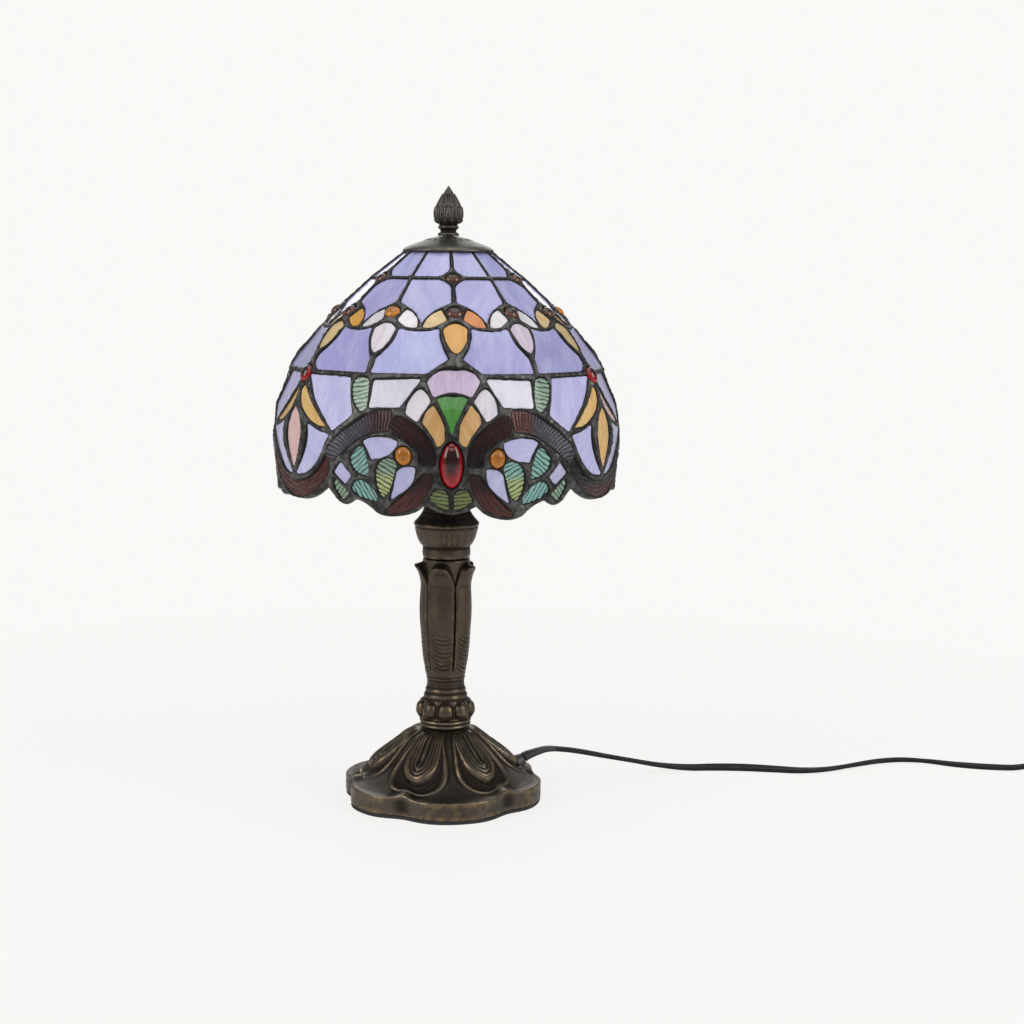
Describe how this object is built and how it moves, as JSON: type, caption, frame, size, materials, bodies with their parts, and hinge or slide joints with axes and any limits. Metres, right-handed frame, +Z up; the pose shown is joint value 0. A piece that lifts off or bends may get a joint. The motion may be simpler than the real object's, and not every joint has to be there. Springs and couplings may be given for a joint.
{
  "type": "stained glass table lamp",
  "caption": "Table lamp: a domed, scalloped stained glass shade on a harp over a leaf-sheathed bronze column and lobed base, with a flat cord, in-line rocker switch and plug.",
  "frame": {"origin": "centre of the base's underside, on the surface that the lamp stands on", "axes": "+Z up along the lamp's axis, -Y the front with a shade motif facing it, +X to the right where the cord leaves"},
  "size_m": [0.6438, 0.2016, 0.3607],
  "materials": {
    "aged_bronze": "dark bronze patina, rubbed to brass on the high edges",
    "worn_brass": "aged brass",
    "plated_steel": "dull plated wire",
    "dark_solder": "dark patinated solder with bright specks",
    "lavender_glass": "streaky opalescent lavender glass",
    "violet_glass": "streaky opalescent blue-violet glass",
    "motif_glass": "amber, green and red textured glass pieces",
    "swag_glass": "lavender, pink and brown glass pieces",
    "bulb_glass": "frosted inside",
    "white_ceramic": "glazed socket core",
    "black_rubber": "matt black",
    "black_cord": "black two-core flat flex",
    "black_plastic": "satin black moulding"
  },
  "bodies": {
    "root": {"base_pad": "black_rubber", "base": "aged_bronze", "cord_bushing": "black_rubber", "inner_lead": "black_cord", "column": "aged_bronze", "socket_cup": "aged_bronze", "threaded_pipe": "worn_brass", "bottom_nut": "worn_brass", "harp_saddle": "plated_steel", "harp": "plated_steel", "socket_shell": "worn_brass", "socket_core": "white_ceramic", "cord_to_switch": "black_cord", "switch_bottom": "black_plastic", "switch_top": "black_plastic", "cord_to_coil": "black_cord", "cord_coil": "black_cord", "cord_to_plug": "black_cord", "plug_body": "black_plastic", "plug_blade_left": "worn_brass", "plug_blade_right": "worn_brass"},
    "shade_seat": {"shade_washer": "worn_brass"},
    "shade": {"vase_cap": "aged_bronze", "solder_lattice": "dark_solder", "crown_pane_01": "lavender_glass", "crown_pane_02": "lavender_glass", "crown_pane_03": "lavender_glass", "crown_pane_04": "lavender_glass", "crown_pane_05": "lavender_glass", "crown_pane_06": "lavender_glass", "crown_pane_07": "lavender_glass", "crown_pane_08": "lavender_glass", "crown_pane_09": "lavender_glass", "crown_pane_10": "lavender_glass", "crown_pane_11": "lavender_glass", "crown_pane_12": "lavender_glass", "shoulder_pane_01": "violet_glass", "shoulder_pane_02": "violet_glass", "shoulder_pane_03": "violet_glass", "shoulder_pane_04": "violet_glass", "shoulder_pane_05": "violet_glass", "shoulder_pane_06": "violet_glass", "shoulder_pane_07": "violet_glass", "shoulder_pane_08": "violet_glass", "shoulder_pane_09": "violet_glass", "shoulder_pane_10": "violet_glass", "shoulder_pane_11": "violet_glass", "shoulder_pane_12": "violet_glass", "shade_skirt_1": "motif_glass", "shade_skirt_2": "swag_glass", "shade_skirt_3": "motif_glass", "shade_skirt_4": "swag_glass", "shade_skirt_5": "motif_glass", "shade_skirt_6": "swag_glass"},
    "finial": {"finial": "worn_brass"},
    "bulb": {"bulb_glass": "bulb_glass", "bulb_cap": "worn_brass"},
    "sleeve_left": {"harp_sleeve_left": "plated_steel"},
    "sleeve_right": {"harp_sleeve_right": "plated_steel"},
    "rocker": {"switch_rocker": "black_plastic"}
  },
  "joints": [
    {"name": "shade_lift", "type": "slide", "parent": "root", "child": "shade_seat", "axis": [0, 0, 1], "range_m": [0, 0.17]},
    {"name": "shade_turn", "type": "hinge", "parent": "shade_seat", "child": "shade", "pos_m": [0, 0, 0.3303], "axis": [0, 0, 1], "continuous": true},
    {"name": "finial_turn", "type": "hinge", "parent": "shade", "child": "finial", "pos_m": [0, 0, 0.332], "axis": [0, 0, 1], "continuous": true},
    {"name": "bulb_turn", "type": "hinge", "parent": "root", "child": "bulb", "pos_m": [0, 0, 0.1964], "axis": [0, 0, 1], "continuous": true},
    {"name": "sleeve_left_slide", "type": "slide", "parent": "root", "child": "sleeve_left", "axis": [0, 0, 1], "range_m": [0, 0.02]},
    {"name": "sleeve_right_slide", "type": "slide", "parent": "root", "child": "sleeve_right", "axis": [0, 0, 1], "range_m": [0, 0.02]},
    {"name": "switch_rock", "type": "hinge", "parent": "root", "child": "rocker", "pos_m": [0.415, 0.0525, 0.0104], "axis": [0, -1, 0], "range_deg": [0, 20]}
  ]
}
